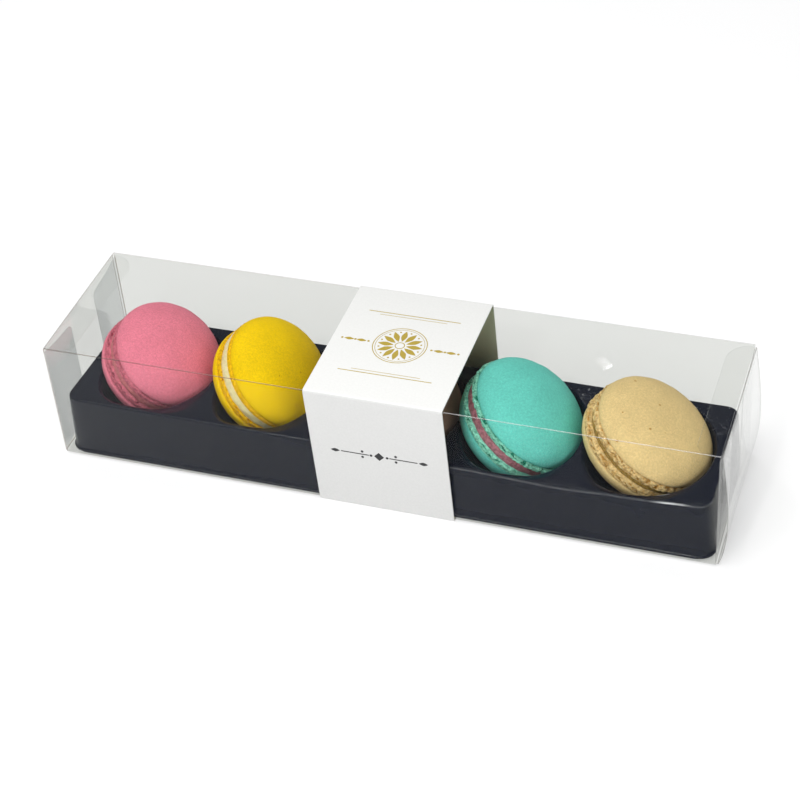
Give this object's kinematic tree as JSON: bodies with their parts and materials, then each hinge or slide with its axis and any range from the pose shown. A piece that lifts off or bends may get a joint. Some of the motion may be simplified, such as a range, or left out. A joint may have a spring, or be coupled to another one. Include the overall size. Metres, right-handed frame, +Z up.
{
  "type": "macaron box",
  "caption": "Shut clear folded gift box with a white card band round its middle, holding a row of tilted macarons in a black formed tray.",
  "frame": {"origin": "middle of the whole, at the underside of the card band that it rests on", "axes": "+X along the box to the bowed end, -Y towards the front, +Z up"},
  "size_m": [0.2173, 0.0544, 0.0441],
  "materials": {
    "clear_film": "clear glossy folded sheet, 0.3 mm thick",
    "white_card": "smooth matt white card with simple gold and black shapes printed on it",
    "black_tray": "vacuum-formed black sheet with a soft gloss",
    "pink_shell": "baked almond meringue, smooth matt dome on a crumbly foot",
    "pink_filling": "soft cream filling",
    "yellow_shell": "baked almond meringue, smooth matt dome on a crumbly foot",
    "yellow_filling": "soft cream filling",
    "cocoa_shell": "baked almond meringue, smooth matt dome on a crumbly foot",
    "cocoa_filling": "soft cream filling",
    "mint_shell": "baked almond meringue, smooth matt dome on a crumbly foot",
    "mint_filling": "soft cream filling",
    "beige_shell": "baked almond meringue, smooth matt dome on a crumbly foot",
    "beige_filling": "soft cream filling"
  },
  "bodies": {
    "root": {"clear_box": "clear_film", "card_band": "white_card", "tray": "black_tray", "pink_upper_shell": "pink_shell", "pink_filling": "pink_filling", "pink_lower_shell": "pink_shell", "yellow_upper_shell": "yellow_shell", "yellow_filling": "yellow_filling", "yellow_lower_shell": "yellow_shell", "cocoa_upper_shell": "cocoa_shell", "cocoa_filling": "cocoa_filling", "cocoa_lower_shell": "cocoa_shell", "mint_upper_shell": "mint_shell", "mint_filling": "mint_filling", "mint_lower_shell": "mint_shell", "beige_upper_shell": "beige_shell", "beige_filling": "beige_filling", "beige_lower_shell": "beige_shell"}
  },
  "joints": []
}
